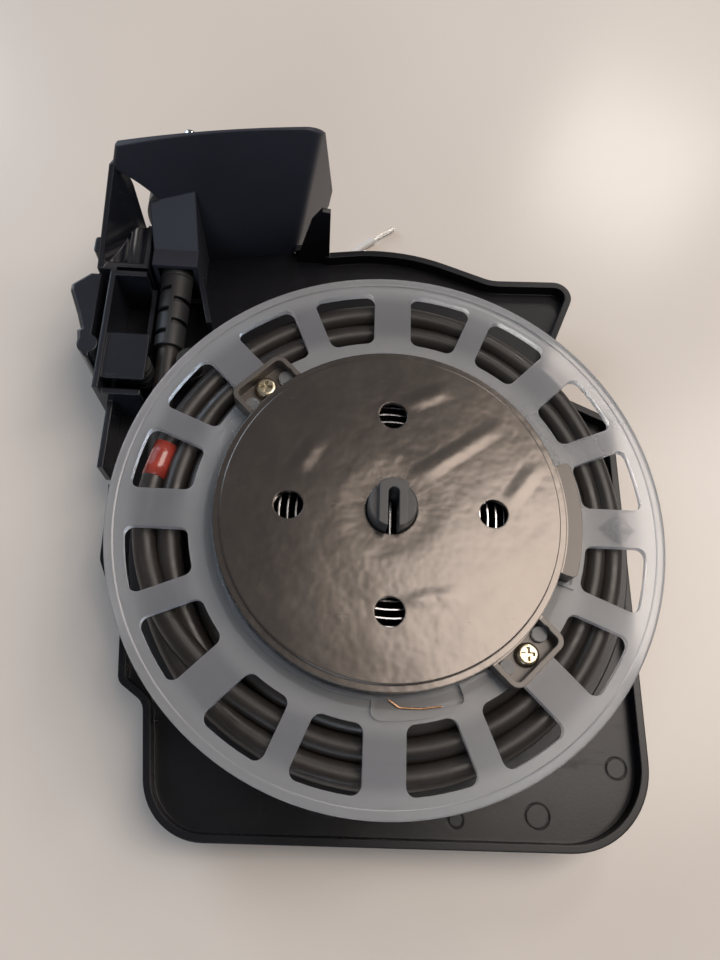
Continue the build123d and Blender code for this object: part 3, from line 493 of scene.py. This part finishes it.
# The run from the reel to the strain relief, as one fixed tube.
start = Vector((-LAYERS[-1], 0.0, COLUMNS[0]))
relief_low, relief_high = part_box("strain_relief")
middle = (relief_low + relief_high) / 2
end = Vector((middle.x, relief_low.y + 1.5 * MM, middle.z))
SPAN_STEPS = 48
span_path = []
for step in range(SPAN_STEPS + 1):
    share = step / SPAN_STEPS
    point = start.lerp(end, share)
    ease = smooth_step(share / 0.7)
    point.x = start.x + (end.x - start.x) * ease
    point.z = start.z + (end.z - start.z) * ease
    span_path.append(point)
span = tube_mesh("cord_run", span_path, lambda i, turn: CORD_RADIUS, sheath)
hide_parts("cord_span")
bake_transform(span)


# ---- Motor leads ----------------------------------------------------------------------------------

WHITE_ROUTE = [(-24.0, 26.0, 5.5), (-24.4, 37.0, 5.3), (-26.0, 50.0, 2.2), (-29.5, 66.0, 1.5), (-30.5, 84.0, 1.6),
               (-26.0, 101.0, 1.5), (-16.5, 115.5, 1.6), (-4.5, 125.0, 1.5)]
BLACK_ROUTE = [(-16.0, 26.0, 5.5), (-15.6, 37.0, 5.3), (-14.6, 50.0, 2.2), (-14.0, 67.0, 1.5), (-16.0, 84.0, 1.6),
               (-15.6, 101.0, 1.5), (-9.0, 116.5, 1.5)]
LEAD = 2.7 * MM


def strands(name, route, length, spread, seed):
    """Bare wires fanning out of the end of a lead."""
    source = random.Random(seed)
    tip = Vector(route[-1]) * MM
    along = (tip - Vector(route[-2]) * MM).normalized()
    side = along.cross(Vector((0, 0, 1))).normalized()
    up = side.cross(along)
    curve = bpy.data.curves.new(name, "CURVE")
    curve.dimensions = "3D"
    curve.bevel_depth = 0.14 * MM
    curve.bevel_resolution = 2
    curve.materials.append(tinned)
    for wire in range(16):
        turn = 2 * math.pi * wire / 16
        inner = 0.45 * MM if wire % 2 else 0.2 * MM
        out = (side * math.cos(turn) + up * math.sin(turn))
        reach = length * source.uniform(0.82, 1.0)
        spline = curve.splines.new("NURBS")
        spline.points.add(3)
        places = (-0.001, 0.3 * reach, 0.65 * reach, reach)
        widths = (inner, inner * 1.1, inner * 1.3 + spread * source.uniform(0, 0.4),
                  inner + spread * source.uniform(0, 1))
        for control, place, width in zip(spline.points, places, widths):
            at = tip + along * place + out * width
            at.z = max(at.z, 0.4 * MM)
            control.co = (*at, 1.0)
        spline.order_u = 3
        spline.use_endpoint_u = True
    piece = bpy.data.objects.new(name, curve)
    bpy.context.scene.collection.objects.link(piece)
    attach(piece, "frame")
    return piece


white_strands = strands("white_lead_wires", WHITE_ROUTE, 0.0108, 0.0006, 5)
black_strands = strands("black_lead_wires", BLACK_ROUTE, 0.0039, 0.0003, 6)
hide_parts("white_lead_strands")
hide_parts("black_lead_strands")
for name, route, length, skin, slot_name, wires in (
        ("motor_lead_white", WHITE_ROUTE, 0.1085, white_pvc, "white_pvc", white_strands),
        ("motor_lead_black", BLACK_ROUTE, 0.0919, black_pvc, "black_pvc", black_strands)):
    lead = route_curve(name + "_sheath", route, LEAD, skin)
    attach(lead, "frame")
    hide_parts(name)


# ---- Camera, floor and light ------------------------------------------------------------------------

CAMERA_PLACE = (-0.01783, -0.06701, 0.25361)
CAMERA_TURN = (20.27, -3.22, 1.78)
CAMERA_LENS = 29.62
FLOOR_SIDE = 10.0

scene = bpy.context.scene
camera_data = bpy.data.cameras.new("camera")
camera_data.lens = CAMERA_LENS
camera_data.sensor_width = 36.0
camera = bpy.data.objects.new("camera", camera_data)
camera.location = CAMERA_PLACE
camera.rotation_euler = [math.radians(angle) for angle in CAMERA_TURN]
camera_data.clip_start = 0.01
scene.collection.objects.link(camera)
scene.camera = camera

floor_mesh = bpy.data.meshes.new("floor")
half = FLOOR_SIDE / 2
floor_corners = [(-half, -half, 0), (half, -half, 0), (half, half, 0), (-half, half, 0)]
floor_mesh.from_pydata(floor_corners, [], [(0, 1, 2, 3)])
floor_mesh.materials.append(tabletop())
floor = bpy.data.objects.new("floor", floor_mesh)
scene.collection.objects.link(floor)


def area_light(name, place, aim, size, energy, colour):
    data = bpy.data.lights.new(name, "AREA")
    data.shape = "RECTANGLE"
    data.size, data.size_y = size
    data.energy = energy
    data.color = colour
    lamp = bpy.data.objects.new(name, data)
    lamp.location = place
    lamp.rotation_euler = (Vector(aim) - Vector(place)).to_track_quat("-Z", "Y").to_euler()
    scene.collection.objects.link(lamp)
    return lamp


area_light("ceiling_lamp", (0.504, 0.992, 0.914), (0, 0.05, 0), (0.3, 0.26), 2.1, (1.0, 0.95, 0.88))
area_light("ceiling_glow", (0.66, 0.26, 1.25), (0.05, 0, 0), (0.7, 1.1), 13.0, (1.0, 0.90, 0.81))
area_light("window", (-1.1, 1.0, 0.7), (0, 0, 0), (0.9, 0.9), 9.0, (0.72, 0.85, 1.0))
area_light("front_window", (-0.35, -1.25, 0.55), (-0.05, 0.1, 0.03), (0.8, 0.5), 4.0, (0.76, 0.86, 1.0))

world = bpy.data.worlds.new("soft_room")
world.use_nodes = True
world.node_tree.nodes["Background"].inputs["Color"].default_value = (0.80, 0.79, 0.79, 1)
world.node_tree.nodes["Background"].inputs["Strength"].default_value = 0.17
scene.world = world
scene.view_settings.view_transform = "Standard"
